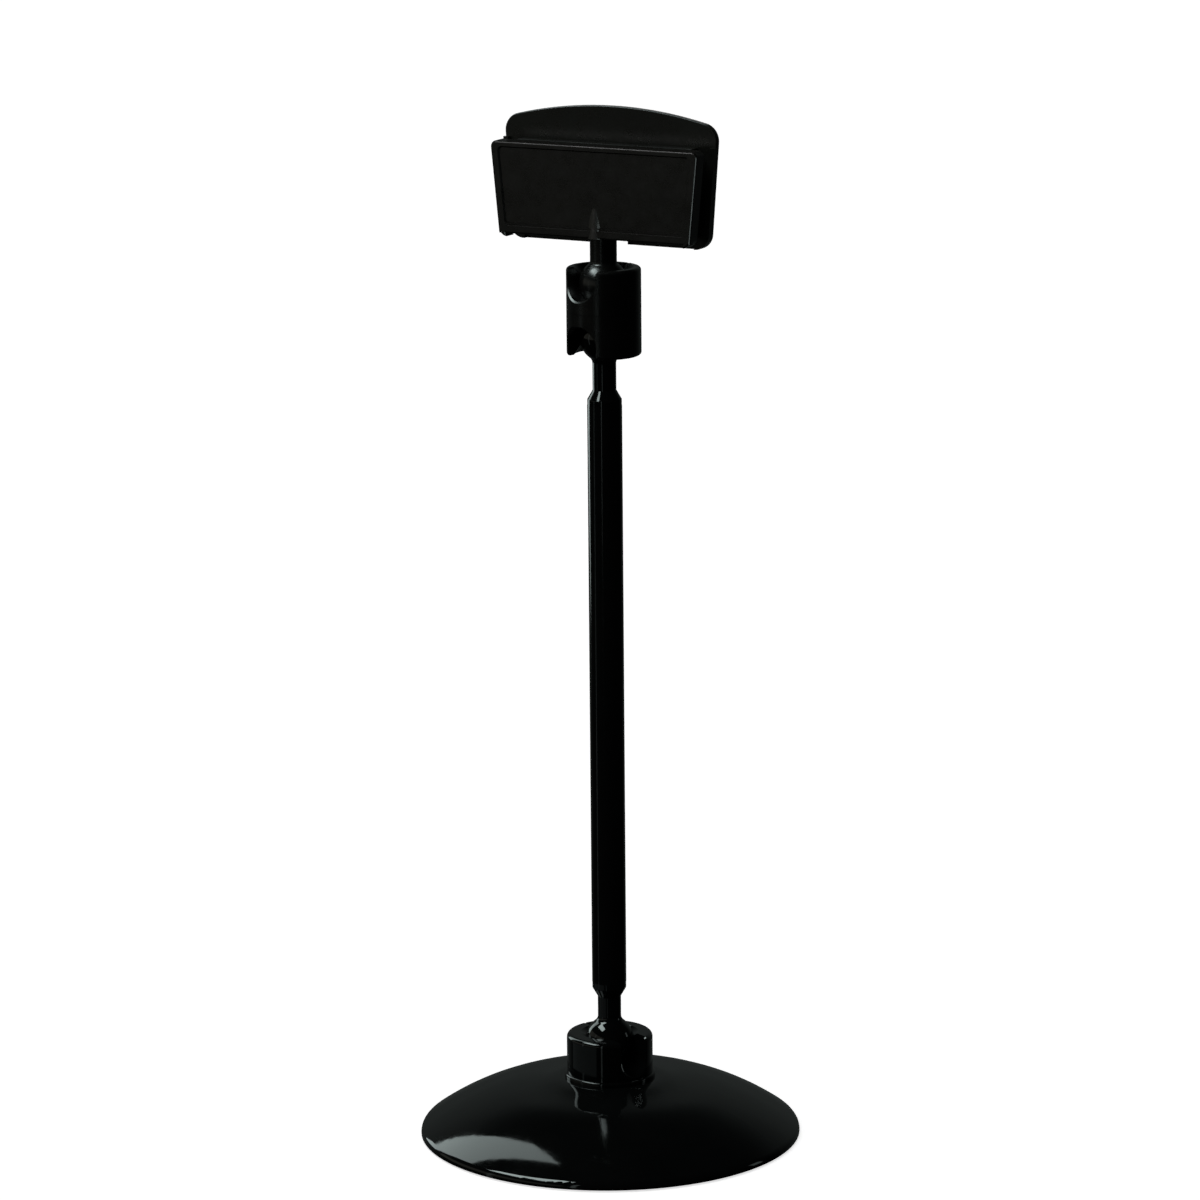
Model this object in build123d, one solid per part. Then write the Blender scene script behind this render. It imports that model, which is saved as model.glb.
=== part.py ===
"""Table-top card clip on a jointed stand.

A weighted round foot carries a snap socket. A straight rod with a ball at each end stands in it,
a double socket sits on the rod's upper ball, and a sprung two-jaw clip on a ball stem stands in
the double socket. Millimetres, +Z up, origin on the table under the centre of the foot. The
clip faces -Y.
"""

from build123d import *
from math import asin, atan, cos, radians, sin, sqrt
import os

# ---- foot ---------------------------------------------------------------------------------

FOOT_R = 50.0            # outside radius of the foot
FOOT_H = 15.5            # height of its crown
EDGE_R, EDGE_Z = 49.1, 2.5    # where the crown rolls over into the rim
CROWN_POWER = 2.7        # 2 is a parabola, more is flatter in the middle
CROWN_SHARES = (0.35, 0.55, 0.7, 0.82, 0.92, 1.0)    # where the crown's curve is pinned
COVER_T = 2.2            # wall of the cover
COVER_IN_Z = 2.0         # foot of the crown's inside
COVER_LIFT = 0.5         # its edge stands this far off the table
CROWN_FLAT_R = 12.5      # flat seat under the foot socket

PAD_T = 1.2              # anti-slip ring
PAD_R_IN, PAD_R_OUT = 38.5, 45.5
PLATE_R, PLATE_T = 46.2, 1.6
PLATE_TOP = PAD_T + PLATE_T

BALLAST = ((40.0, 3.0), (30.0, 4.0))    # radius and thickness of each steel disc, from the bottom
BALLAST_HOLE_R = 9.5
BALLAST_EDGE = 0.4       # chamfer

SCREW_COUNT = 3          # screws of the bottom plate
SCREW_RING_R, SCREW_AZ = 34.5, 90.0          # their circle, and where the first one is
SCREW_R, SCREW_HEAD_R, SCREW_HEAD_T = 1.0, 2.4, 0.3
SCREW_LENGTH, SCREW_TIP = 4.6, 0.6
SCREW_BOSS_R = 3.0
CROSS_HALF, CROSS_REACH, CROSS_DEPTH = 0.25, 1.3, 0.7    # drive slots in a screw's head

# ---- pivot of the foot socket in the cover ------------------------------------------------

PLAY = 0.05              # running clearance, all round
COLLAR_R, COLLAR_BOTTOM = 8.5, 10.8
SPIGOT_R = 5.0
SPIGOT_BOTTOM = COLLAR_BOTTOM - 0.1
WASHER_R, WASHER_T = 7.0, 0.6
PIVOT_R, PIVOT_HEAD_R, PIVOT_HEAD_T, PIVOT_HEAD_ROUND = 1.5, 2.9, 1.9, 0.6
PIVOT_TIP_Z, PIVOT_POINT = FOOT_H + 1.5, 0.75
PIVOT_CROSS_SCALE = 1.5  # its drive slots against those of the small screws

# ---- balls and sockets --------------------------------------------------------------------

BALL_R = 6.3             # every ball
CAVITY_R = BALL_R + PLAY
SLOT_BEVEL = 0.4
SLIT_HALF = 0.5          # half the width of the spring slit opposite a slot

SOCKET_R = 11.3          # foot socket
SOCKET_BASE = FOOT_H + PLAY
SOCKET_TOP = 27.4
SOCKET_BALL_Z = 25.4
SOCKET_ROUND = 1.3       # rounding of its mouth
SOCKET_SLOT_HALF, SOCKET_SLOT_FOOT = 4.0, 17.7    # half the slot's width; its round foot
SOCKET_SLIT_FOOT = 20.4
SOCKET_THROAT, SOCKET_MOUTH_R = 1.2, 7.6    # height of the throat over the ball centre; mouth
SOCKET_AZ = 66.0         # way its slot faces, turned from -Y towards +X
BEAD_R, BEAD_T, BEAD_ROUND = 11.9, 1.2, 0.5

LINK_R = 9.6             # double socket
LINK_GAP = 14.0          # between its ball centres
LINK_LIP = 4.4           # ball centre to mouth
LINK_ROUND = 0.9
LINK_THROAT, LINK_MOUTH_R = 1.8, 7.7
LINK_SLOT_HALF, LINK_SLOT_DROP = 5.0, 3.7   # half the slot's width; its foot under the ball centre
LINK_SLIT_DROP = 1.5     # foot of the slit under the ball centre
LINK_AZ = -18.0          # way its slots face
SEAM_DEPTH, SEAM_HALF = 0.15, 0.35          # moulding seam round its middle

# ---- rod ----------------------------------------------------------------------------------

ROD_R, ROD_BORE_R = 4.5, 3.5
ROD_SPAN = 187.1         # from ball centre to ball centre
NECK_R, NECK_BLEND = 3.05, 2.0
LOW_NECK, HIGH_NECK = 11.9, 13.5    # from each ball's centre to its collar's chamfer
COLLAR_CHAMFER = 2.4     # length of the chamfer
COLLAR_LENGTH = 4.0      # from the chamfer's start to the end of the tube
COLLAR_STEP = 0.06       # the collar is this much slimmer than the tube
COLLAR_ROUND = 0.3
SHANK_LENGTH, SHANK_TIP = 12.0, 0.6

LINK_LOW_Z = SOCKET_BALL_Z + ROD_SPAN
LINK_HIGH_Z = LINK_LOW_Z + LINK_GAP

# ---- clip ---------------------------------------------------------------------------------

JAW_BOTTOM = LINK_HIGH_Z + 12.1
JAW_TOP = JAW_BOTTOM + 23.7
JAW_T = 1.8              # wall of both jaws
PIN_Z = JAW_BOTTOM + 12.6
PIN_R, PIN_HALF = 1.0, 12.6

FRONT_Y = -5.5           # face of the front jaw
FRONT_IN_Y = FRONT_Y + JAW_T
FRONT_TOP_HALF, FRONT_BOTTOM_HALF = 29.7, 27.4
FRONT_ROUND, CHEEK_ROUND, FRONT_EDGE = 1.6, 2.6, 0.5
CHEEK_DEPTH, CHEEK_T, CHEEK_DROP = 4.1, 2.0, 0.9    # the cheeks hang below the face
LIP_T = 1.4              # wall along the top
PANEL_SIDE, PANEL_TOP, PANEL_FOOT = 2.3, 1.7, 2.9   # frame round the recessed panel
PANEL_DEPTH, PANEL_ROUND, PANEL_DRAFT = 0.6, 0.8, 30.0
GROOVE_Z, GROOVE_W, GROOVE_DEPTH = 2.0, 0.4, 0.35   # line above the bottom bead
RIB_R, RIB_TIP_R, RIB_H = 2.9, 1.95, 8.0    # tapered rib over the stem's boss
RIB_Y = FRONT_Y + 2.55   # its axis

BACK_Y = 5.8             # outer face of the back jaw
BACK_IN_Y = BACK_Y - JAW_T
BACK_BOTTOM, BACK_TOP = JAW_BOTTOM - 2.3, JAW_TOP + 9.2
BACK_TOP_HALF, BACK_BOTTOM_HALF = 30.7, 28.4
ARCH_RISE = 4.2          # of its arched top
BACK_TOP_ROUND, BACK_BOTTOM_ROUND, BACK_EDGE, BACK_IN_EDGE = 4.6, 4.0, 0.6, 0.4
FLANGE_T, FLANGE_DEPTH = 1.5, 1.2
NOTCH_HALF, NOTCH_TOP, NOTCH_ROUND = 4.9, PIN_Z - 3.2, 1.5    # room for the stem's boss
RIDGE_COUNT, RIDGE_GAP, RIDGE_R, RIDGE_SINK = 4, 2.2, 0.6, 0.15    # finger ridges on its back
RIDGE_START, RIDGE_IN, RIDGE_OUT = 4.0, 6.5, 19.0

GRIP_HALF = 25.0         # half the length of the grip
GRIP_BOTTOM, GRIP_TOP = JAW_TOP - 2.8, JAW_TOP - 0.2
STRIP_T, GRIP_GAP = 0.9, 0.1
TOOTH_COUNT, TOOTH_DEPTH, TOOTH_TURN = 3, 0.3, 45.0

LUG_R, LUG_T = 2.3, 2.0
FRONT_LUG_X, BACK_LUG_X = 8.3, 11.3
BOSS_HALF, BOSS_BACK, BOSS_TOP = 4.2, 3.2, JAW_BOTTOM + 6.6

STEM_R, STEM_BLEND = 3.45, 1.0
STEM_SHANK_R, STEM_TIP = 1.95, 0.4
STEM_TOP = BOSS_TOP + 1.5
RETAINER_R, RETAINER_T = 3.1, 0.5
RETAINER_SLOTS, RETAINER_SLOT_HALF = 4, 0.15

WIRE_R, COIL_R = 0.4, 2.4
COIL_TURNS, COIL_PITCH = 10.5, 1.1
LEG_DROP = 9.0           # length of the spring's legs below the pin
LEG_GAP = 0.1            # from each leg's tip to its jaw

OVER = 1.0               # how far a cutting tool reaches past what it cuts
BOTTOM_UP = (Align.CENTER, Align.CENTER, Align.MIN)
FROM_CORNER = (Align.MIN, Align.MIN, Align.MIN)

os.makedirs("parts", exist_ok=True)


# ---- helpers ------------------------------------------------------------------------------

def rod_z(radius, z0, z1):
    """A solid cylinder on the Z axis."""
    return Pos(0, 0, z0) * Cylinder(radius, z1 - z0, align=BOTTOM_UP)


def ring(outer, inner, z0, z1):
    """A ring on the Z axis."""
    return rod_z(outer, z0, z1) - rod_z(inner, z0, z1)


def rod_x(radius, x0, x1, y, z):
    """A cylinder along X."""
    return Pos((x0 + x1) / 2, y, z) * Rot(0, 90, 0) * Cylinder(radius, x1 - x0)


def block(x0, x1, y0, y1, z0, z1):
    """A box between two corners."""
    return Pos(x0, y0, z0) * Box(x1 - x0, y1 - y0, z1 - z0, align=FROM_CORNER)


def spun(*edges):
    """The solid of revolution round Z of a closed outline in the XZ plane."""
    return revolve(make_face(Wire(list(edges))), axis=Axis.Z)


def lathe(*points):
    """The solid of revolution round Z of straight runs through (radius, z) points."""
    return spun(*Polyline(*[(r, 0, z) for r, z in points], close=True).edges())


def slab(face, y0, y1, draft=0.0):
    """A plate between two Y planes, from a sketch in X and Z; draft widens it towards -Y."""
    front = Plane(origin=(0, y1, 0), x_dir=(1, 0, 0), z_dir=(0, -1, 0))
    return extrude(front * face, y1 - y0, taper=-draft)


def cross_slots(z0, scale=1.0):
    """The tool that cuts a screw's drive slots up from z0."""
    half, reach, depth = (scale * size for size in (CROSS_HALF, CROSS_REACH, CROSS_DEPTH))
    slot = block(-half, half, -reach, reach, z0, z0 + depth)
    return slot + Rot(0, 0, 90) * slot


def circles(solid):
    """A solid's circular edges, lowest first."""
    return solid.edges().filter_by(GeomType.CIRCLE).sort_by(Axis.Z)


def save(name, shape):
    """Writes one sub-part."""
    shape.label = name
    export_step(shape, f"parts/{name}.step")


# ---- foot ---------------------------------------------------------------------------------

def crown_curve(edge_r, edge_z, top_z):
    """The crown's outline, from its flat middle out to its edge."""
    def height(r):
        return edge_z + (top_z - edge_z) * (1 - (r / edge_r) ** CROWN_POWER)

    points = [(CROWN_FLAT_R, 0, top_z)] + [(s * edge_r, 0, height(s * edge_r)) for s in CROWN_SHARES]
    edge_slope = -CROWN_POWER * (top_z - edge_z) / edge_r
    return Spline(*points, tangents=[(1, 0, 0), (1, 0, edge_slope)])


def foot_cover():
    """The glossy domed cover, with the collar that the socket turns in and the screw bosses."""
    in_r, in_top = FOOT_R - COVER_T, FOOT_H - COVER_T
    outside = crown_curve(EDGE_R, EDGE_Z, FOOT_H)
    inside = crown_curve(in_r, COVER_IN_Z, in_top)
    fall = atan(CROWN_POWER * (FOOT_H - EDGE_Z) / EDGE_R)
    roll_r = (FOOT_R - EDGE_R) / (1 - sin(fall))
    roll_x, roll_z = FOOT_R - roll_r, EDGE_Z - roll_r * cos(fall)
    half_way = (fall + radians(90)) / 2
    roll_mid = (roll_x + roll_r * sin(half_way), 0, roll_z + roll_r * cos(half_way))
    roll = ThreePointArc((EDGE_R, 0, EDGE_Z), roll_mid, (FOOT_R, 0, roll_z))
    wall = Polyline((FOOT_R, 0, roll_z), (FOOT_R, 0, COVER_LIFT),
                    (in_r, 0, COVER_LIFT), (in_r, 0, COVER_IN_Z))
    bore_r = SPIGOT_R + PLAY
    middle = Polyline((CROWN_FLAT_R, 0, in_top), (COLLAR_R, 0, in_top), (COLLAR_R, 0, COLLAR_BOTTOM),
                      (bore_r, 0, COLLAR_BOTTOM), (bore_r, 0, FOOT_H), (CROWN_FLAT_R, 0, FOOT_H))
    cover = spun(outside, roll, *wall.edges(), inside, *middle.edges())
    floor = Polyline((in_r, 0, COVER_IN_Z), (0, 0, COVER_IN_Z), (0, 0, in_top), (CROWN_FLAT_R, 0, in_top))
    room = spun(inside, *floor.edges())
    for place in PolarLocations(SCREW_RING_R, SCREW_COUNT, SCREW_AZ):
        boss = place * ring(SCREW_BOSS_R, SCREW_R, PLATE_TOP, FOOT_H)
        cover += boss & room
    return cover


def screw_head():
    """The countersunk part of a bottom plate screw, which is also its seat in the plate."""
    return lathe((0, PAD_T), (SCREW_HEAD_R, PAD_T), (SCREW_HEAD_R, PAD_T + SCREW_HEAD_T),
                 (SCREW_R, PLATE_TOP), (0, PLATE_TOP))


def bottom_plate():
    """The closing plate, countersunk for its screws."""
    plate = rod_z(PLATE_R, PAD_T, PLATE_TOP)
    for place in PolarLocations(SCREW_RING_R, SCREW_COUNT, SCREW_AZ):
        plate -= place * screw_head()
    return plate


def plate_screws():
    """The countersunk screws that hold the bottom plate to the cover."""
    tip_z = PLATE_TOP + SCREW_LENGTH
    shank = lathe((0, PLATE_TOP), (SCREW_R, PLATE_TOP), (SCREW_R, tip_z - SCREW_TIP), (0, tip_z))
    screw = screw_head() + shank - cross_slots(PAD_T)
    return Compound(children=[place * screw for place in PolarLocations(SCREW_RING_R, SCREW_COUNT, SCREW_AZ)])


def ballast(layer):
    """One steel disc, clear of the pivot and of the cover's bosses."""
    radius, thick = BALLAST[layer]
    z0 = PLATE_TOP + sum(t for _, t in BALLAST[:layer])
    disc = ring(radius, BALLAST_HOLE_R, z0, z0 + thick)
    disc = chamfer(circles(disc).filter_by(lambda edge: edge.radius > BALLAST_HOLE_R + OVER), BALLAST_EDGE)
    if radius > SCREW_RING_R - SCREW_BOSS_R:
        for place in PolarLocations(SCREW_RING_R, SCREW_COUNT, SCREW_AZ):
            disc -= place * rod_z(SCREW_BOSS_R + BALLAST_EDGE, z0, z0 + thick)
    return disc


def pivot_tip():
    """The drilled end of the pivot screw's hole, which the screw fills."""
    full = PIVOT_TIP_Z - PIVOT_POINT
    return lathe((0, SPIGOT_BOTTOM), (PIVOT_R, SPIGOT_BOTTOM), (PIVOT_R, full), (0, PIVOT_TIP_Z))


def pivot_screw():
    """The pan-head screw that holds the foot socket down and turns with it."""
    head_top = SPIGOT_BOTTOM - WASHER_T
    head_bottom = head_top - PIVOT_HEAD_T
    head = rod_z(PIVOT_HEAD_R, head_bottom, head_top)
    head = fillet(circles(head)[0], PIVOT_HEAD_ROUND)
    shank = rod_z(PIVOT_R, head_top, SPIGOT_BOTTOM)
    return head + shank + pivot_tip() - cross_slots(head_bottom, PIVOT_CROSS_SCALE)


# ---- ball joints --------------------------------------------------------------------------

def ball_neck(neck_r, blend_r, end):
    """A ball at the origin with a neck up to end, and a hollow blend between them."""
    lean = asin((neck_r + blend_r) / (BALL_R + blend_r))
    centre = ((BALL_R + blend_r) * sin(lean), (BALL_R + blend_r) * cos(lean))
    touch = (BALL_R * sin(lean), 0, BALL_R * cos(lean))
    half_way = (lean + radians(90)) / 2
    blend_mid = (centre[0] - blend_r * sin(half_way), 0, centre[1] - blend_r * cos(half_way))
    return spun(
        Line((0, 0, end), (0, 0, -BALL_R)),
        ThreePointArc((0, 0, -BALL_R), (BALL_R, 0, 0), touch),
        ThreePointArc(touch, blend_mid, (neck_r, 0, centre[1])),
        Line((neck_r, 0, centre[1]), (neck_r, 0, end)),
        Line((neck_r, 0, end), (0, 0, end)),
    )


def ball_stud(neck, shank_r):
    """A rod end: ball, neck, chamfered collar as wide as the tube, and a shank inside the tube."""
    collar_r = ROD_R - COLLAR_STEP
    tube_end = neck + COLLAR_LENGTH
    tip = tube_end + SHANK_LENGTH
    collar = lathe((0, neck), (NECK_R, neck), (collar_r, neck + COLLAR_CHAMFER), (collar_r, tube_end),
                   (shank_r, tube_end), (shank_r, tip - SHANK_TIP), (shank_r - SHANK_TIP, tip), (0, tip))
    collar = fillet(circles(collar)[1], COLLAR_ROUND)
    return ball_neck(NECK_R, NECK_BLEND, neck) + collar


def cavity(lip_z, throat_z, mouth_r):
    """The hollow round a ball at the origin, and the flared way in above it."""
    throat_r = sqrt(CAVITY_R ** 2 - throat_z ** 2)
    top_z = lip_z + OVER
    flare = lathe((0, 0), (throat_r, 0), (throat_r, throat_z), (mouth_r, lip_z), (mouth_r, top_z), (0, top_z))
    return Sphere(CAVITY_R) + flare


def side_slot(half, foot_z, top_z, reach):
    """The tool for a slot in the wall facing -Y: round at its foot and open at the mouth."""
    middle_z = foot_z + half
    foot = Pos(0, -reach / 2, middle_z) * Rot(90, 0, 0) * Cylinder(half, reach)
    return foot + block(-half, half, -reach, 0, middle_z, top_z)


def bevel_slot(body, half, radius, low_z, high_z):
    """Bevels a slot's outer edges, between two heights."""
    def on_slot(edge):
        middle = edge @ 0.5
        near = abs(sqrt(middle.X ** 2 + middle.Y ** 2) - radius) < SLOT_BEVEL
        return near and middle.Y < 0 and abs(middle.X) < half + PLAY and low_z < middle.Z < high_z

    return chamfer(body.edges().filter_by(on_slot), SLOT_BEVEL)


def foot_socket():
    """The socket on the foot, with a spigot that turns in the cover."""
    reach = BEAD_R + OVER
    body = fillet(circles(rod_z(SOCKET_R, SOCKET_BASE, SOCKET_TOP))[-1], SOCKET_ROUND)
    body += fillet(circles(rod_z(BEAD_R, SOCKET_BASE, SOCKET_BASE + BEAD_T))[-1], BEAD_ROUND)
    body += rod_z(SPIGOT_R, SPIGOT_BOTTOM, SOCKET_BASE)
    body -= side_slot(SOCKET_SLOT_HALF, SOCKET_SLOT_FOOT, SOCKET_TOP + OVER, reach)
    slot_low, slot_high = SOCKET_SLOT_FOOT - OVER, SOCKET_TOP - SOCKET_ROUND
    body = bevel_slot(body, SOCKET_SLOT_HALF, SOCKET_R, slot_low, slot_high)
    body -= Pos(0, 0, SOCKET_BALL_Z) * cavity(SOCKET_TOP - SOCKET_BALL_Z, SOCKET_THROAT, SOCKET_MOUTH_R)
    body -= block(-SLIT_HALF, SLIT_HALF, 0, reach, SOCKET_SLIT_FOOT, SOCKET_TOP + OVER)
    return Rot(0, 0, SOCKET_AZ) * (body - pivot_tip())


def double_socket():
    """The link between the rod and the clip: a socket up and a socket down, slots on one side."""
    half = LINK_GAP / 2
    end = half + LINK_LIP
    reach = LINK_R + OVER
    body = fillet(circles(rod_z(LINK_R, -end, end)), LINK_ROUND)
    body -= lathe((LINK_R - SEAM_DEPTH, 0), (reach, -SEAM_HALF), (reach, SEAM_HALF))
    slot = side_slot(LINK_SLOT_HALF, half - LINK_SLOT_DROP, end + OVER, reach)
    flip = Rot(0, 180, 0)
    body -= slot + flip * slot
    body = bevel_slot(body, LINK_SLOT_HALF, LINK_R, LINK_ROUND - end, end - LINK_ROUND)
    slit = block(-SLIT_HALF, SLIT_HALF, 0, reach, half - LINK_SLIT_DROP, end + OVER)
    room = Pos(0, 0, half) * cavity(LINK_LIP, LINK_THROAT, LINK_MOUTH_R) + slit
    body -= room + flip * room
    return Pos(0, 0, LINK_LOW_Z + half) * Rot(0, 0, LINK_AZ) * body


# ---- clip ---------------------------------------------------------------------------------

def clip_stem():
    """The ball stem, with a thin shank that turns in the front jaw's boss."""
    neck_end = JAW_BOTTOM - GRIP_GAP - LINK_HIGH_Z
    tip = STEM_TOP - LINK_HIGH_Z
    shank = lathe((0, neck_end), (STEM_SHANK_R, neck_end), (STEM_SHANK_R, tip - STEM_TIP),
                  (STEM_SHANK_R - STEM_TIP, tip), (0, tip))
    return Pos(0, 0, LINK_HIGH_Z) * (ball_neck(STEM_R, STEM_BLEND, neck_end) + shank)


def stem_retainer():
    """The push-on star washer that keeps the stem in the boss."""
    z0 = BOSS_TOP + PLAY
    washer = ring(RETAINER_R, STEM_SHANK_R, z0, z0 + RETAINER_T)
    slot_out = (RETAINER_R + STEM_SHANK_R) / 2
    for place in PolarLocations(0, RETAINER_SLOTS):
        washer -= place * block(0, slot_out, -RETAINER_SLOT_HALF, RETAINER_SLOT_HALF, z0, z0 + RETAINER_T)
    return washer


def front_face(bottom, top, inset=0.0):
    """The front jaw's tapered outline between two heights, pulled in at the sides by inset."""
    taper = (FRONT_TOP_HALF - FRONT_BOTTOM_HALF) / (JAW_TOP - JAW_BOTTOM)
    low, high = (FRONT_BOTTOM_HALF + taper * (z - JAW_BOTTOM) - inset for z in (bottom, top))
    return make_face(Polyline((-low, bottom), (low, bottom), (high, top), (-high, top), close=True))


def rounded(face, low=0.0, high=0.0):
    """Rounds a face's two lowest and two highest corners."""
    if low:
        face = fillet(face.vertices().sort_by(Axis.Y)[:2], low)
    if high:
        face = fillet(face.vertices().sort_by(Axis.Y)[-2:], high)
    return face


def lugs(middle_x, wall_y):
    """A pair of hinge lugs, from a jaw's wall to the pin."""
    pair = []
    for side in (-1, 1):
        x0, x1 = side * middle_x - LUG_T / 2, side * middle_x + LUG_T / 2
        web = block(x0, x1, min(0, wall_y), max(0, wall_y), PIN_Z - LUG_R, PIN_Z + LUG_R)
        pair.append(web + rod_x(LUG_R, x0, x1, 0, PIN_Z))
    return pair


def face_rib():
    """The tapered rib on the front jaw's face, over the stem's boss."""
    tip_z = JAW_BOTTOM + RIB_H
    cone = lathe((0, JAW_BOTTOM), (RIB_R, JAW_BOTTOM), (RIB_TIP_R, tip_z), (0, tip_z))
    wall = block(-RIB_R, RIB_R, FRONT_Y - OVER, FRONT_IN_Y, JAW_BOTTOM, JAW_TOP)
    return Pos(0, RIB_Y, 0) * cone & wall


def front_jaw():
    """The framed front jaw: recessed panel, side cheeks, top lip, stem boss and hinge lugs."""
    jaw = slab(rounded(front_face(JAW_BOTTOM, JAW_TOP), high=FRONT_ROUND), FRONT_Y, FRONT_IN_Y)
    cheeks = rounded(front_face(JAW_BOTTOM - CHEEK_DROP, JAW_TOP), low=CHEEK_ROUND, high=FRONT_ROUND)
    cheeks -= front_face(JAW_BOTTOM - 2 * CHEEK_DROP, JAW_TOP - LIP_T, CHEEK_T)
    jaw += slab(cheeks, FRONT_Y, FRONT_Y + CHEEK_DEPTH)
    jaw = fillet(jaw.edges().group_by(Axis.Y)[0], FRONT_EDGE)
    panel = front_face(JAW_BOTTOM + PANEL_FOOT, JAW_TOP - PANEL_TOP, PANEL_SIDE)
    panel = rounded(panel, PANEL_ROUND, PANEL_ROUND)
    jaw -= slab(panel, FRONT_Y - OVER, FRONT_Y + PANEL_DEPTH, PANEL_DRAFT)
    groove_z = JAW_BOTTOM + GROOVE_Z
    groove = front_face(groove_z, groove_z + GROOVE_W, PANEL_SIDE)
    jaw -= slab(groove, FRONT_Y - OVER, FRONT_Y + GROOVE_DEPTH)
    jaw += face_rib()
    jaw += block(-GRIP_HALF, GRIP_HALF, FRONT_IN_Y, -STRIP_T, GRIP_BOTTOM, JAW_TOP)
    jaw += block(-BOSS_HALF, BOSS_HALF, FRONT_IN_Y, BOSS_BACK, JAW_BOTTOM, BOSS_TOP)
    for lug in lugs(FRONT_LUG_X, FRONT_IN_Y):
        jaw += lug
    jaw -= rod_z(STEM_SHANK_R + PLAY, JAW_BOTTOM - OVER, BOSS_TOP + OVER)
    return jaw - rod_x(PIN_R, -PIN_HALF, PIN_HALF, 0, PIN_Z)


def back_face(inset=0.0):
    """The back jaw's outline: tapered sides, arched top and round corners, pulled in by inset."""
    low_x, low_z = BACK_BOTTOM_HALF - inset, BACK_BOTTOM + inset
    high_x, high_z = BACK_TOP_HALF - inset, BACK_TOP - ARCH_RISE - inset
    outline = [
        Line((-low_x, low_z), (low_x, low_z)),
        Line((low_x, low_z), (high_x, high_z)),
        ThreePointArc((high_x, high_z), (0, BACK_TOP - inset), (-high_x, high_z)),
        Line((-high_x, high_z), (-low_x, low_z)),
    ]
    return rounded(make_face(outline), BACK_BOTTOM_ROUND - inset, BACK_TOP_ROUND - inset)


def grip_teeth(y, z0, z1):
    """The tools for the V grooves along a grip strip's face at y."""
    step = (z1 - z0) / TOOTH_COUNT
    side = sqrt(2) * TOOTH_DEPTH
    bar = Rot(TOOTH_TURN, 0, 0) * Box(2 * GRIP_HALF + OVER, side, side)
    return [Pos(0, y, z0 + (tooth + 0.5) * step) * bar for tooth in range(TOOTH_COUNT)]


def finger_ridges():
    """Two rows of half-round ridges, low on the back jaw's outside."""
    ridges = []
    for row in range(RIDGE_COUNT):
        z = BACK_BOTTOM + RIDGE_START + row * RIDGE_GAP
        for x0, x1 in ((-RIDGE_OUT, -RIDGE_IN), (RIDGE_IN, RIDGE_OUT)):
            ridges.append(rod_x(RIDGE_R, x0, x1, BACK_Y - RIDGE_SINK, z))
    return ridges


def back_jaw():
    """The taller back jaw: arched plate with side flanges, grip rib, lugs and finger ridges."""
    jaw = slab(back_face(), BACK_IN_Y, BACK_Y)
    jaw = fillet(jaw.edges().group_by(Axis.Y)[-1], BACK_EDGE)
    flanges = slab(back_face() - back_face(FLANGE_T), BACK_IN_Y - FLANGE_DEPTH, BACK_IN_Y)
    inner_half = BACK_BOTTOM_HALF - BACK_BOTTOM_ROUND
    flanges -= block(-inner_half, inner_half, 0, BACK_Y, BACK_BOTTOM, BACK_TOP)
    flanges -= block(-FOOT_R, FOOT_R, 0, BACK_Y, JAW_TOP, BACK_TOP)
    jaw += flanges
    inner_edges = jaw.edges().filter_by_position(Axis.Y, BACK_IN_Y, BACK_IN_Y)
    jaw = fillet(inner_edges.filter_by_position(Axis.Z, JAW_TOP + OVER, BACK_TOP), BACK_IN_EDGE)
    jaw += block(-GRIP_HALF, GRIP_HALF, GRIP_GAP + STRIP_T, BACK_IN_Y, GRIP_BOTTOM, GRIP_TOP)
    for piece in lugs(BACK_LUG_X, BACK_IN_Y) + finger_ridges():
        jaw += piece
    notch = make_face(Polyline((-NOTCH_HALF, BACK_BOTTOM - OVER), (NOTCH_HALF, BACK_BOTTOM - OVER),
                               (NOTCH_HALF, NOTCH_TOP), (-NOTCH_HALF, NOTCH_TOP), close=True))
    jaw -= slab(rounded(notch, high=NOTCH_ROUND), 0, BACK_Y + OVER)
    return jaw - rod_x(PIN_R + PLAY, -PIN_HALF - OVER, PIN_HALF + OVER, 0, PIN_Z)


def grip_strip(y0, toothed_y):
    """A soft strip, grooved on the side that meets the card."""
    low, high = min(y0, toothed_y), max(y0, toothed_y)
    strip = block(-GRIP_HALF, GRIP_HALF, low, high, GRIP_BOTTOM, GRIP_TOP)
    for groove in grip_teeth(toothed_y, GRIP_BOTTOM, GRIP_TOP):
        strip -= groove
    return strip


def wire(start, end):
    """A straight run of spring wire with a round start."""
    run = Plane(origin=start, z_dir=Vector(*end) - Vector(*start))
    length = (Vector(*end) - Vector(*start)).length
    return extrude(run * Circle(WIRE_R), length) + Pos(*start) * Sphere(WIRE_R)


def torsion_spring():
    """The hinge spring: a close coil round the pin, and a leg down to each jaw."""
    width = COIL_TURNS * COIL_PITCH
    helix = Helix(pitch=COIL_PITCH, height=width, radius=COIL_R)
    coil = sweep(Plane(origin=helix @ 0, z_dir=helix % 0) * Circle(WIRE_R), path=helix, is_frenet=True)
    lay = Pos(-width / 2, 0, PIN_Z) * Rot(-90, 0, 0) * Rot(0, 90, 0)
    spring = lay * coil
    for point, wall_y in ((helix @ 0, FRONT_IN_Y), (helix @ 1, BACK_IN_Y)):
        start = (lay * Pos(point)).position
        side = 1 if wall_y > 0 else -1
        tip = (start.X, wall_y - side * (WIRE_R + LEG_GAP), PIN_Z - LEG_DROP)
        spring += wire(tuple(start), tip)
    return spring


# ---- write --------------------------------------------------------------------------------

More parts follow.
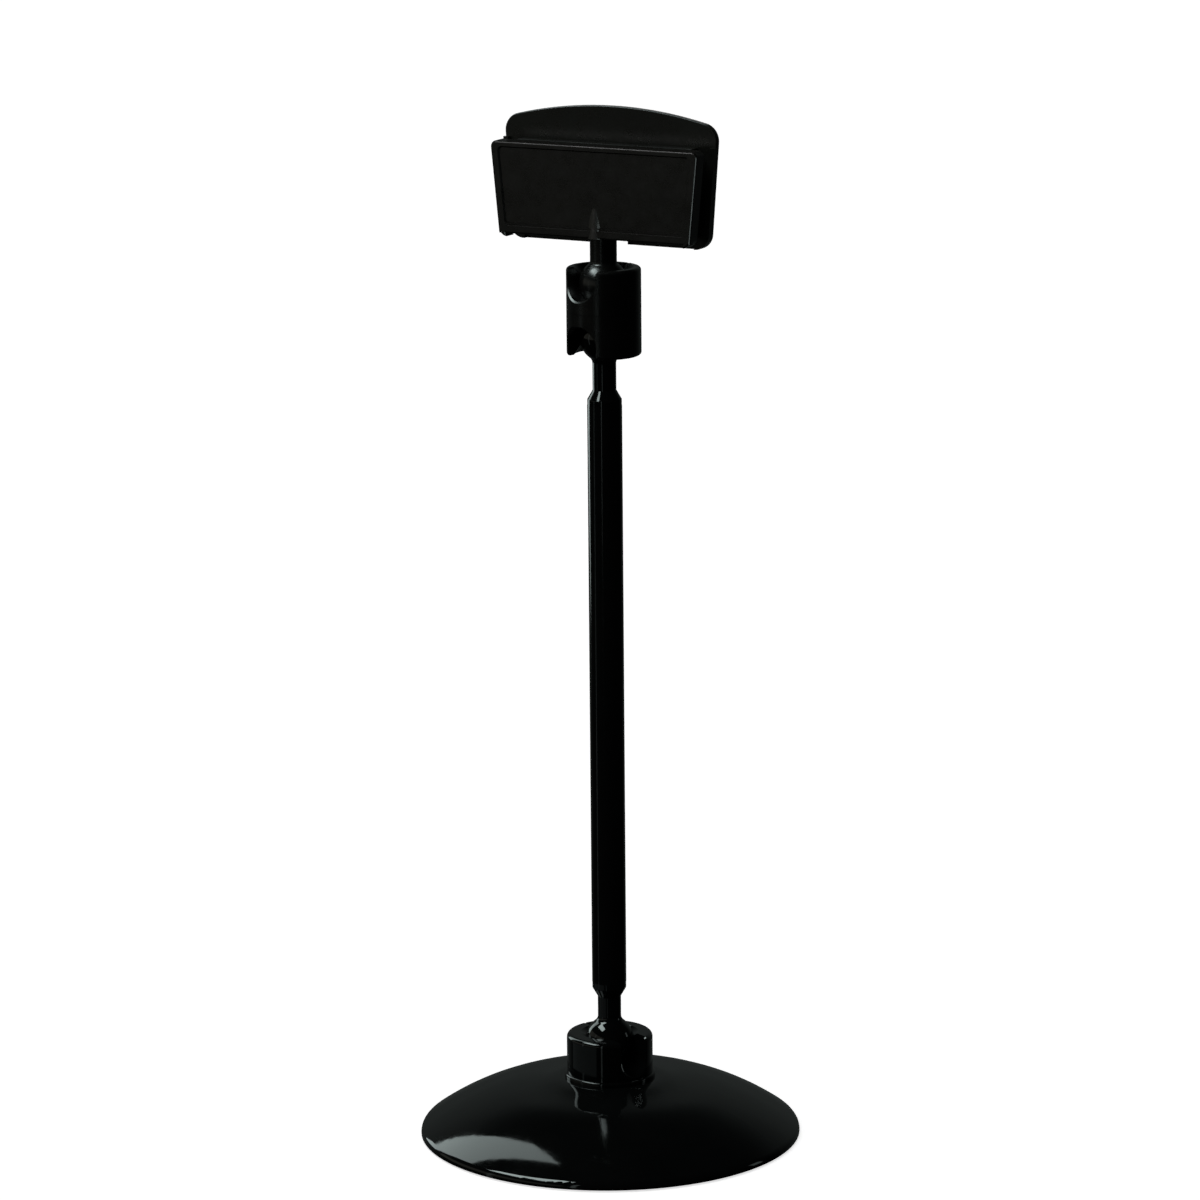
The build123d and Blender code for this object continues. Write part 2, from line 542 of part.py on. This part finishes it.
save("foot_cover", foot_cover())
save("bottom_plate", bottom_plate())
save("plate_screws", plate_screws())
save("anti_slip_ring", ring(PAD_R_OUT, PAD_R_IN, 0, PAD_T))
save("ballast_lower", ballast(0))
save("ballast_upper", ballast(1))
save("foot_socket", foot_socket())
save("pivot_screw", pivot_screw())
save("pivot_washer", ring(WASHER_R, PIVOT_R, SPIGOT_BOTTOM - WASHER_T, SPIGOT_BOTTOM))
save("lower_ball_stud", Pos(0, 0, SOCKET_BALL_Z) * ball_stud(LOW_NECK, ROD_BORE_R - PLAY))
tube_low = SOCKET_BALL_Z + LOW_NECK + COLLAR_LENGTH
tube_high = LINK_LOW_Z - HIGH_NECK - COLLAR_LENGTH
save("rod_tube", ring(ROD_R, ROD_BORE_R, tube_low, tube_high))
save("upper_ball_stud", Pos(0, 0, LINK_LOW_Z) * Rot(180, 0, 0) * ball_stud(HIGH_NECK, ROD_BORE_R))
save("double_socket", double_socket())
save("clip_stem", clip_stem())
save("stem_retainer", stem_retainer())
save("front_jaw", front_jaw())
save("front_grip_strip", grip_strip(-STRIP_T, 0))
save("back_jaw", back_jaw())
save("back_grip_strip", grip_strip(GRIP_GAP + STRIP_T, GRIP_GAP))
save("hinge_pin", rod_x(PIN_R, -PIN_HALF, PIN_HALF, 0, PIN_Z))
save("torsion_spring", torsion_spring())
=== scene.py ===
from math import cos, pi, radians, sin

import bpy
from mathutils import Matrix, Vector


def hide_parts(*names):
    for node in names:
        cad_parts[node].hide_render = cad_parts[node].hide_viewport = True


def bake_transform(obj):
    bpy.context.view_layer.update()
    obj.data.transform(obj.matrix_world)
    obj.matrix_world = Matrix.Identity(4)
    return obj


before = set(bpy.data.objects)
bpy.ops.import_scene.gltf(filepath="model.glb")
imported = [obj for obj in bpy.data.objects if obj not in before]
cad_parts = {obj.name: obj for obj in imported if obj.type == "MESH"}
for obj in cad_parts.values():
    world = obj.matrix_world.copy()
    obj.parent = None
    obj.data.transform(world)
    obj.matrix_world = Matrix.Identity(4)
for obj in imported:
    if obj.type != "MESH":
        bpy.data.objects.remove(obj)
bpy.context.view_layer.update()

MM = 0.001

# ---- camera -------------------------------------------------------------------------------

CAMERA_AZ = 28.0         # to the right of the clip's front
CAMERA_FAR = 1300 * MM   # along the floor from the rod
CAMERA_UP = 432 * MM
CAMERA_TILT = 12.5       # down
CAMERA_ROLL = -0.48      # the rod leans a little to the left in the view
CAMERA_SIDE = -1.6 * MM  # sideways, which puts the rod just right of the middle
LENS = 154.5


def from_camera(turn, far, up):
    """A point at an angle to the left of the camera, round the rod."""
    angle = radians(CAMERA_AZ - turn)
    return Vector((far * sin(angle), -far * cos(angle), up))


def add_object(name, data):
    """Puts a camera or light in the scene."""
    thing = bpy.data.objects.new(name, data)
    bpy.context.scene.collection.objects.link(thing)
    return thing


def add_camera():
    """The camera, at the viewing angle of a catalogue picture."""
    data = bpy.data.cameras.new("camera")
    data.lens = LENS
    data.clip_start = 0.01
    camera = add_object("camera", data)
    angle = radians(CAMERA_AZ)
    sideways = Vector((cos(angle), sin(angle), 0)) * CAMERA_SIDE
    camera.location = from_camera(0, CAMERA_FAR, CAMERA_UP) + sideways
    turn = Matrix.Rotation(angle, 3, "Z") @ Matrix.Rotation(radians(90 - CAMERA_TILT), 3, "X")
    camera.rotation_euler = (turn @ Matrix.Rotation(radians(CAMERA_ROLL), 3, "Z")).to_euler()
    bpy.context.scene.camera = camera


# ---- light: angles go from the camera to the left round the rod, and glow is radiance ------

PURE_WHITE = (1.0, 1.0, 1.0)
COOL_WHITE = (0.86, 1.0, 0.98)
WARM_WHITE = (1.0, 1.0, 0.86)

FLOOR_HALF = 12.0
FLOOR_LIGHT = 1.3        # even light from above, for the floor and its soft shadow
FLOOR_GLOW = 0.72        # the rest of the floor's white
CEILING_SPREAD = 70.0    # how wide the light from above is, as an angle
CEILING_LEAN = (14.0, -10.0)

BACKDROP = ((0.0, 0.045), (0.14, 0.062), (0.35, 0.07), (0.52, 0.066), (0.66, 0.024), (0.8, 0.003))
BACKDROP_TINT = (0.88, 1.0, 0.96)
FRONT_SHARE = 0.1        # of the backdrop's light, in front
BEHIND_FROM, BEHIND_FULL = 0.4, 0.85      # how far behind the object that share starts to grow, and ends

BASE_HEIGHT, LINK_HEIGHT, CLIP_HEIGHT = 0.1, 0.22, 0.25   # what the softboxes are aimed at

SOCKET = ("foot_socket", "lower_ball_stud")
FOOT = SOCKET + ("foot_cover",)
LINK = ("double_socket", "clip_stem")


def add_softbox(name, middle, width, height, glow, target, colour=PURE_WHITE):
    """A rectangular softbox, aimed at target, which shows in reflections but not to the camera."""
    data = bpy.data.lights.new(name, "AREA")
    data.shape = "RECTANGLE"
    data.size = width
    data.size_y = height
    data.energy = glow * pi * width * height
    data.color = colour
    light = add_object(name, data)
    light.location = middle
    light.rotation_euler = (Vector(target) - middle).to_track_quat("-Z", "Y").to_euler()
    light.visible_camera = False
    return light


def add_strip(name, turn, far, low, high, width, glow):
    """An upright strip light, which shows in gloss but adds no general light."""
    middle = from_camera(turn, far, (low + high) / 2)
    light = add_softbox(name, middle, width, high - low, glow, (0, 0, middle.z), COOL_WHITE)
    light.visible_diffuse = False
    return light


def only_on(light, nodes):
    """Lets a light fall on some of the CAD pieces only, as a flag in a studio would."""
    lit = bpy.data.collections.new(light.name + "_lit")
    for node in nodes:
        lit.objects.link(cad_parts[node])
    light.light_linking.receiver_collection = lit


def all_but(nodes):
    """The names of the other CAD pieces."""
    return [node for node in FINISH if node not in nodes]


def add_window(near, far, low, high, glow):
    """A tall window, seen at a slant: near and far are its edges' angles and distances."""
    near_edge, far_edge = from_camera(*near, 0), from_camera(*far, 0)
    along = far_edge - near_edge
    middle = (near_edge + far_edge) / 2 + Vector((0, 0, (low + high) / 2))
    inward = along.cross(Vector((0, 0, 1)))
    if inward.dot(-near_edge) < 0:
        inward = -inward
    return add_softbox("window", middle, along.length, high - low, glow, middle + inward, COOL_WHITE)


def add_ceiling():
    """Soft, even light from above, which doesn't show in reflections."""
    data = bpy.data.lights.new("ceiling", "SUN")
    data.energy = FLOOR_LIGHT
    data.angle = radians(CEILING_SPREAD)
    light = add_object("ceiling", data)
    light.rotation_euler = (radians(CEILING_LEAN[0]), radians(CEILING_LEAN[1]), 0)
    light.visible_glossy = False


def add_general_lights():
    """The window, the high box and the dim wall, all on the left, and a box behind the clip."""
    window = add_window(near=(123, 0.40), far=(143, 0.80), low=0.05, high=1.28, glow=2.3)
    only_on(window, all_but(LINK + ("front_jaw",)))
    key = add_softbox("key_box", from_camera(76, 0.95, 1.4), width=1.1, height=0.5, glow=7.5,
                      target=(0, 0, BASE_HEIGHT), colour=COOL_WHITE)
    only_on(key, all_but(("front_jaw",)))
    add_softbox("left_wall", from_camera(75, 1.9, 0.4), width=4.0, height=0.7, glow=0.17,
                target=(0, 0, 0.2), colour=WARM_WHITE)
    rear = add_softbox("rear_box", from_camera(165, 1.5, 0.7), width=1.4, height=0.9, glow=0.9,
                       target=(0, 0, 0.2))
    only_on(rear, ("back_jaw",))


def add_foot_lights():
    """Strips and a dim wall that the foot and its socket mirror."""
    add_strip("key_strip", turn=76, far=1.3, low=-0.35, high=0.5, width=0.09, glow=0.3)
    front = add_strip("front_strip", turn=22, far=1.6, low=-0.15, high=1.2, width=0.08, glow=0.8)
    only_on(front, all_but(("lower_ball_stud",)))
    right = add_strip("right_strip", turn=-95, far=0.8, low=0.05, high=0.3, width=0.12, glow=0.6)
    only_on(right, FOOT)
    wall = add_strip("low_wall", turn=77, far=1.4, low=-0.7, high=-0.15, width=2.4, glow=0.075)
    only_on(wall, SOCKET)
    strip = add_strip("low_strip", turn=22, far=1.6, low=-0.75, high=-0.15, width=0.1, glow=0.25)
    only_on(strip, SOCKET)


def add_clip_lights():
    """Small lights that draw the double socket's slot and the edges of the clip's frame."""
    slot = add_softbox("slot_light", from_camera(105, 0.7, 1.3), width=0.9, height=0.5, glow=4.0,
                       target=(0, 0, LINK_HEIGHT), colour=COOL_WHITE)
    only_on(slot, LINK)
    side = add_strip("edge_light", turn=-12, far=1.1, low=-0.15, high=0.3, width=0.8, glow=3.5)
    only_on(side, ("front_jaw",))
    top = add_softbox("frame_light", from_camera(56, 1.0, 0.85), width=0.3, height=0.6, glow=6.0,
                      target=(0, 0, CLIP_HEIGHT))
    only_on(top, ("front_jaw",))


def add_world():
    """White to look at; as light, a dim backdrop that fades overhead and towards the front."""
    world = bpy.data.worlds.new("studio")
    bpy.context.scene.world = world
    world.use_nodes = True
    tree = world.node_tree
    tree.nodes.clear()
    seen = tree.nodes.new("ShaderNodeBackground")
    seen.inputs["Color"].default_value = (1, 1, 1, 1)
    place = tree.nodes.new("ShaderNodeTexCoord")
    split = tree.nodes.new("ShaderNodeSeparateXYZ")
    ramp = tree.nodes.new("ShaderNodeValToRGB")
    for stop, (height, grey) in enumerate(BACKDROP):
        if stop > 1:
            ramp.color_ramp.elements.new(height)
        ramp.color_ramp.elements[stop].position = height
        ramp.color_ramp.elements[stop].color = (*(tint * grey for tint in BACKDROP_TINT), 1)
    behind = tree.nodes.new("ShaderNodeVectorMath")
    behind.operation = "DOT_PRODUCT"
    behind.inputs[1].default_value = from_camera(180, 1, 0)
    share = tree.nodes.new("ShaderNodeMapRange")
    share.inputs["From Min"].default_value = BEHIND_FROM
    share.inputs["From Max"].default_value = BEHIND_FULL
    share.inputs["To Min"].default_value = FRONT_SHARE
    lit = tree.nodes.new("ShaderNodeBackground")
    path = tree.nodes.new("ShaderNodeLightPath")
    mix = tree.nodes.new("ShaderNodeMixShader")
    out = tree.nodes.new("ShaderNodeOutputWorld")
    tree.links.new(place.outputs["Generated"], split.inputs[0])
    tree.links.new(place.outputs["Generated"], behind.inputs[0])
    tree.links.new(behind.outputs["Value"], share.inputs["Value"])
    tree.links.new(share.outputs["Result"], lit.inputs["Strength"])
    tree.links.new(split.outputs["Z"], ramp.inputs[0])
    tree.links.new(ramp.outputs["Color"], lit.inputs["Color"])
    tree.links.new(path.outputs["Is Camera Ray"], mix.inputs[0])
    tree.links.new(lit.outputs[0], mix.inputs[1])
    tree.links.new(seen.outputs[0], mix.inputs[2])
    tree.links.new(mix.outputs[0], out.inputs["Surface"])


def add_floor():
    """The plain white floor, left out of reflections."""
    mesh = bpy.data.meshes.new("floor")
    corners = [(x * FLOOR_HALF, y * FLOOR_HALF, 0) for x, y in ((-1, -1), (1, -1), (1, 1), (-1, 1))]
    mesh.from_pydata(corners, [], [(0, 1, 2, 3)])
    floor = add_object("floor", mesh)
    material, tree, shader = new_material("floor_paper")
    shader.inputs["Base Color"].default_value = (0.8, 0.8, 0.8, 1)
    shader.inputs["Roughness"].default_value = 0.9
    shader.inputs["Specular IOR Level"].default_value = 0.0
    shader.inputs["Emission Color"].default_value = (1, 1, 1, 1)
    shader.inputs["Emission Strength"].default_value = FLOOR_GLOW
    mesh.materials.append(material)
    floor.visible_glossy = False
    floor.visible_diffuse = False


# ---- materials: noise scales are in features per metre -------------------------------------

DRIFT_SCALE = 60         # slow colour drift in moulded plastic
GLOSS_SCALE = 220        # patches of more and less gloss
WAVE_SCALE = 45          # the mould's slow waves
DRAWN_DEPTH = 0.02 * MM  # lines on drawn or pressed metal


def new_material(name):
    """A material with its tree and its main shader."""
    material = bpy.data.materials.new(name)
    material.use_nodes = True
    tree = material.node_tree
    return material, tree, tree.nodes["Principled BSDF"]


def noise(tree, scale, detail=2.0, stretch=(1, 1, 1), rough=0.5):
    """Noise in the object's own space."""
    place = tree.nodes.new("ShaderNodeTexCoord")
    mapping = tree.nodes.new("ShaderNodeMapping")
    mapping.inputs["Scale"].default_value = stretch
    texture = tree.nodes.new("ShaderNodeTexNoise")
    texture.inputs["Scale"].default_value = scale
    texture.inputs["Detail"].default_value = detail
    texture.inputs["Roughness"].default_value = rough
    tree.links.new(place.outputs["Object"], mapping.inputs["Vector"])
    tree.links.new(mapping.outputs["Vector"], texture.inputs["Vector"])
    return texture.outputs["Fac"]


def spread(tree, value, low, high, start=0.3, end=0.7):
    """Maps a noise value onto a range."""
    node = tree.nodes.new("ShaderNodeMapRange")
    node.inputs["From Min"].default_value = start
    node.inputs["From Max"].default_value = end
    node.inputs["To Min"].default_value = low
    node.inputs["To Max"].default_value = high
    tree.links.new(value, node.inputs["Value"])
    return node.outputs["Result"]


def blend_colours(tree, value, dark, light):
    """A colour between two, by a noise value."""
    ramp = tree.nodes.new("ShaderNodeValToRGB")
    ramp.color_ramp.elements[0].position = 0.3
    ramp.color_ramp.elements[0].color = (*dark, 1)
    ramp.color_ramp.elements[1].position = 0.7
    ramp.color_ramp.elements[1].color = (*light, 1)
    tree.links.new(value, ramp.inputs["Fac"])
    return ramp.outputs["Color"]


def bump(tree, layers):
    """Stacks bumps, each (height value, depth in metres, strength)."""
    normal = None
    for value, depth, strength in layers:
        node = tree.nodes.new("ShaderNodeBump")
        node.inputs["Distance"].default_value = depth
        node.inputs["Strength"].default_value = strength
        tree.links.new(value, node.inputs["Height"])
        if normal:
            tree.links.new(normal, node.inputs["Normal"])
        normal = node.outputs["Normal"]
    return normal


def plastic(name, dark, light, rough_low, rough_high, grain, grain_depth, wave_depth, stretch=(1, 1, 1)):
    """Moulded plastic: faint colour drift, uneven gloss, a fine grain and the mould's slow waves."""
    material, tree, shader = new_material(name)
    tree.links.new(blend_colours(tree, noise(tree, DRIFT_SCALE, 3), dark, light), shader.inputs["Base Color"])
    gloss = spread(tree, noise(tree, GLOSS_SCALE, 5, stretch, 0.65), rough_low, rough_high)
    tree.links.new(gloss, shader.inputs["Roughness"])
    waves = (noise(tree, WAVE_SCALE, 1), wave_depth, 1.0)
    grains = (noise(tree, grain, 3, stretch), grain_depth, 1.0)
    tree.links.new(bump(tree, [waves, grains]), shader.inputs["Normal"])
    shader.inputs["IOR"].default_value = 1.5
    return material


def metal(name, dark, light, rough_low, rough_high, scale, stretch):
    """Bare or plated steel with fine drawn lines."""
    material, tree, shader = new_material(name)
    lines = noise(tree, scale, 4, stretch, 0.7)
    tree.links.new(blend_colours(tree, lines, dark, light), shader.inputs["Base Color"])
    tree.links.new(spread(tree, lines, rough_low, rough_high), shader.inputs["Roughness"])
    tree.links.new(bump(tree, [(lines, DRAWN_DEPTH, 0.6)]), shader.inputs["Normal"])
    shader.inputs["Metallic"].default_value = 1.0
    return material


MATERIALS = {
    "gloss": plastic("gloss_black_plastic", (0.0012, 0.0014, 0.0014), (0.002, 0.0022, 0.0022), 0.04, 0.09,
                     2600, 0.002 * MM, 0.006 * MM),
    "rod": plastic("rod_black_plastic", (0.0016, 0.0017, 0.0017), (0.0026, 0.0027, 0.0027), 0.09, 0.16,
                   2200, 0.004 * MM, 0.004 * MM, (1, 1, 0.05)),
    "satin": plastic("satin_black_plastic", (0.0042, 0.0042, 0.0036), (0.0064, 0.0064, 0.0055), 0.24, 0.34,
                     5200, 0.012 * MM, 0.004 * MM),
    "link": plastic("link_black_plastic", (0.0022, 0.0022, 0.0021), (0.0036, 0.0036, 0.0034), 0.2, 0.3,
                    4200, 0.008 * MM, 0.004 * MM),
    "plate": plastic("textured_black_plastic", (0.012, 0.012, 0.012), (0.02, 0.02, 0.02), 0.45, 0.6,
                     3200, 0.05 * MM, 0.004 * MM),
    "rubber": plastic("soft_rubber", (0.014, 0.014, 0.014), (0.028, 0.028, 0.027), 0.6, 0.8,
                      2800, 0.04 * MM, 0.01 * MM),
    "steel": metal("plated_steel", (0.42, 0.43, 0.44), (0.62, 0.63, 0.64), 0.18, 0.34, 900, (0.1, 1, 1)),
    "ballast": metal("oiled_steel", (0.10, 0.10, 0.11), (0.2, 0.2, 0.21), 0.35, 0.55, 160, (1, 1, 1)),
}

FINISH = {
    "foot_cover": "gloss", "bottom_plate": "plate", "plate_screws": "steel", "anti_slip_ring": "rubber",
    "ballast_lower": "ballast", "ballast_upper": "ballast", "foot_socket": "gloss", "pivot_screw": "steel",
    "pivot_washer": "steel", "lower_ball_stud": "gloss", "rod_tube": "rod", "upper_ball_stud": "gloss",
    "double_socket": "link", "clip_stem": "link", "stem_retainer": "steel", "front_jaw": "satin",
    "front_grip_strip": "rubber", "back_jaw": "satin", "back_grip_strip": "rubber", "hinge_pin": "steel",
    "torsion_spring": "steel",
}


def add_spring():
    """The hinge spring as a copy of the CAD piece's mesh, put in its place while the CAD piece is hidden."""
    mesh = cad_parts["torsion_spring"].data.copy()
    spring = add_object("hinge_spring", mesh)
    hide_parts("torsion_spring")
    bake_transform(spring)


def finish_cad_nodes():
    """Gives every CAD node its material."""
    for node, finish in FINISH.items():
        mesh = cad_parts[node].data
        mesh.materials.clear()
        mesh.materials.append(MATERIALS[finish])


finish_cad_nodes()
add_spring()
add_floor()
add_world()
add_ceiling()
add_general_lights()
add_foot_lights()
add_clip_lights()
add_camera()
bpy.context.scene.view_settings.view_transform = "Standard"
